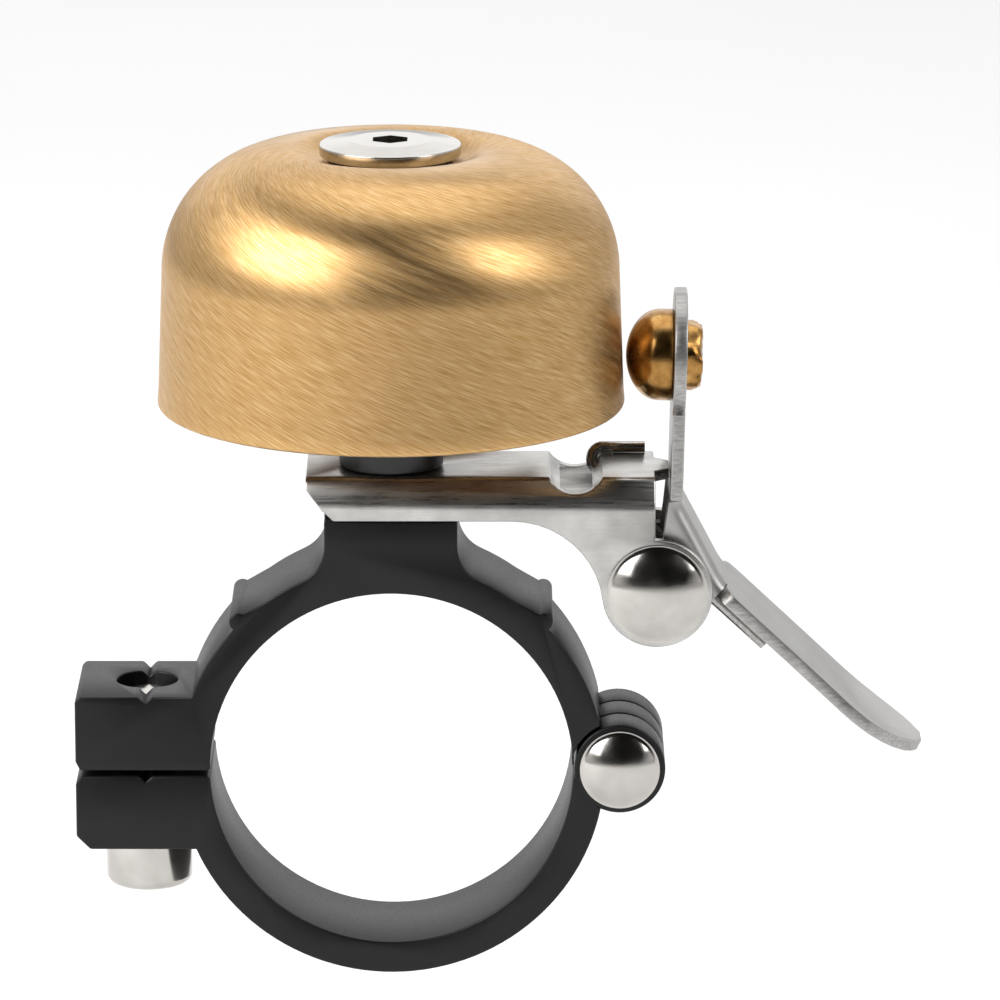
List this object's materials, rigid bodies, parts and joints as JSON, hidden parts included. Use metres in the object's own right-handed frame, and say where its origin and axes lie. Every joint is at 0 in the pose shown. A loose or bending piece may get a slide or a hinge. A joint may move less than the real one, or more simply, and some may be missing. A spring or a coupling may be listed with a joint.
{
  "type": "bicycle bell",
  "caption": "Striker bell on a hinged handlebar clamp: brass dome, folded bracket and a sprung thumb lever that knocks a brass striker.",
  "frame": {"origin": "centre of the clamp's bar bore, at the middle of the clamp's width", "axes": "+Y along the handlebar, +Z from the bar up to the dome, +X towards the thumb lever"},
  "size_m": [0.0744, 0.0408, 0.0737],
  "materials": {
    "black_anodised": "satin black anodised extrusion",
    "nickel_plate": "bright nickel plate",
    "nickel_sheet": "nickel-plated folded sheet",
    "lever_steel": "tumbled stainless sheet",
    "brushed_brass": "brushed and lacquered",
    "turned_brass": "turned, slightly tarnished",
    "spring_wire": "drawn spring wire",
    "zinc_steel": "zinc-plated",
    "black_plastic": "moulded",
    "black_rubber": "matte"
  },
  "bodies": {
    "root": {"clamp_upper": "black_anodised", "bracket": "nickel_sheet", "dome_spacer": "black_plastic", "dome_washer_lower": "black_rubber", "dome_washer_upper": "black_rubber", "dome": "brushed_brass", "dome_screw": "nickel_plate", "lever_rivet": "nickel_plate", "pivot_sleeve": "zinc_steel", "return_spring": "spring_wire"},
    "lever": {"lever": "lever_steel", "striker": "turned_brass"},
    "clamp_lower": {"clamp_lower": "black_anodised", "clamp_hinge_rivet": "nickel_plate"},
    "clamp_screw": {"clamp_screw": "nickel_plate"}
  },
  "joints": [
    {"name": "lever_pivot", "type": "hinge", "parent": "root", "child": "lever", "pos_m": [0.0232, 0, 0.0159], "axis": [0, 1, 0], "range_deg": [0, 24], "stiffness_Nm_per_rad": 0.05, "springref_deg": -28.65, "deforming": ["return_spring"]},
    {"name": "clamp_hinge", "type": "hinge", "parent": "root", "child": "clamp_lower", "pos_m": [0.02, 0, 0], "axis": [0, -1, 0], "range_deg": [0, 90]},
    {"name": "clamp_screw_travel", "type": "slide", "parent": "clamp_lower", "child": "clamp_screw", "axis": [0, 0, -1], "range_m": [0, 0.0075]}
  ]
}
